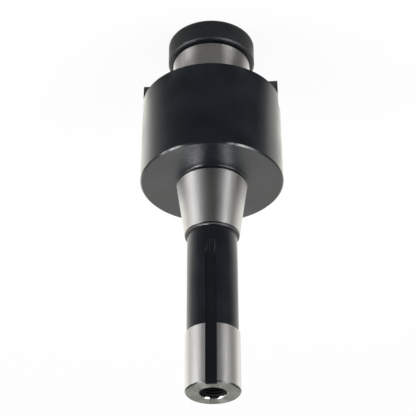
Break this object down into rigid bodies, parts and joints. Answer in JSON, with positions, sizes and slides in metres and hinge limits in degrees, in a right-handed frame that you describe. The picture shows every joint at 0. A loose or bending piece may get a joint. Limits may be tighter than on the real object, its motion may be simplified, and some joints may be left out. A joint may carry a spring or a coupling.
{
  "type": "shell mill arbor",
  "caption": "Shell mill arbor: a keyed taper shank drawn up by a drawbar, a thick round flange with drive keys, a ground pilot and a wide-headed lock screw.",
  "frame": {"origin": "middle of the lock screw head's end face, on which the arbor stands", "axes": "+Z along the arbor's axis towards the drawbar end, -Y through the middle of the shank's keyway, +X through the first drive key"},
  "size_m": [0.0672, 0.0672, 0.1891],
  "materials": {
    "arbor_steel": "black oxide, with the taper, the straight land and the pilot ground bright",
    "lock_screw_steel": "black oxide, satin",
    "drive_key_steel": "black oxide, satin",
    "key_screw_steel": "black oxide"
  },
  "bodies": {
    "lock_screw": {"lock_screw": "lock_screw_steel"},
    "arbor": {"arbor_body": "arbor_steel", "drive_key_1": "drive_key_steel", "drive_key_2": "drive_key_steel", "key_screw_1": "key_screw_steel", "key_screw_2": "key_screw_steel"}
  },
  "joints": [
    {"name": "lock_screw_travel", "type": "slide", "parent": "lock_screw", "child": "arbor", "axis": [0, 0, 1], "range_m": [0, 0.06]}
  ]
}
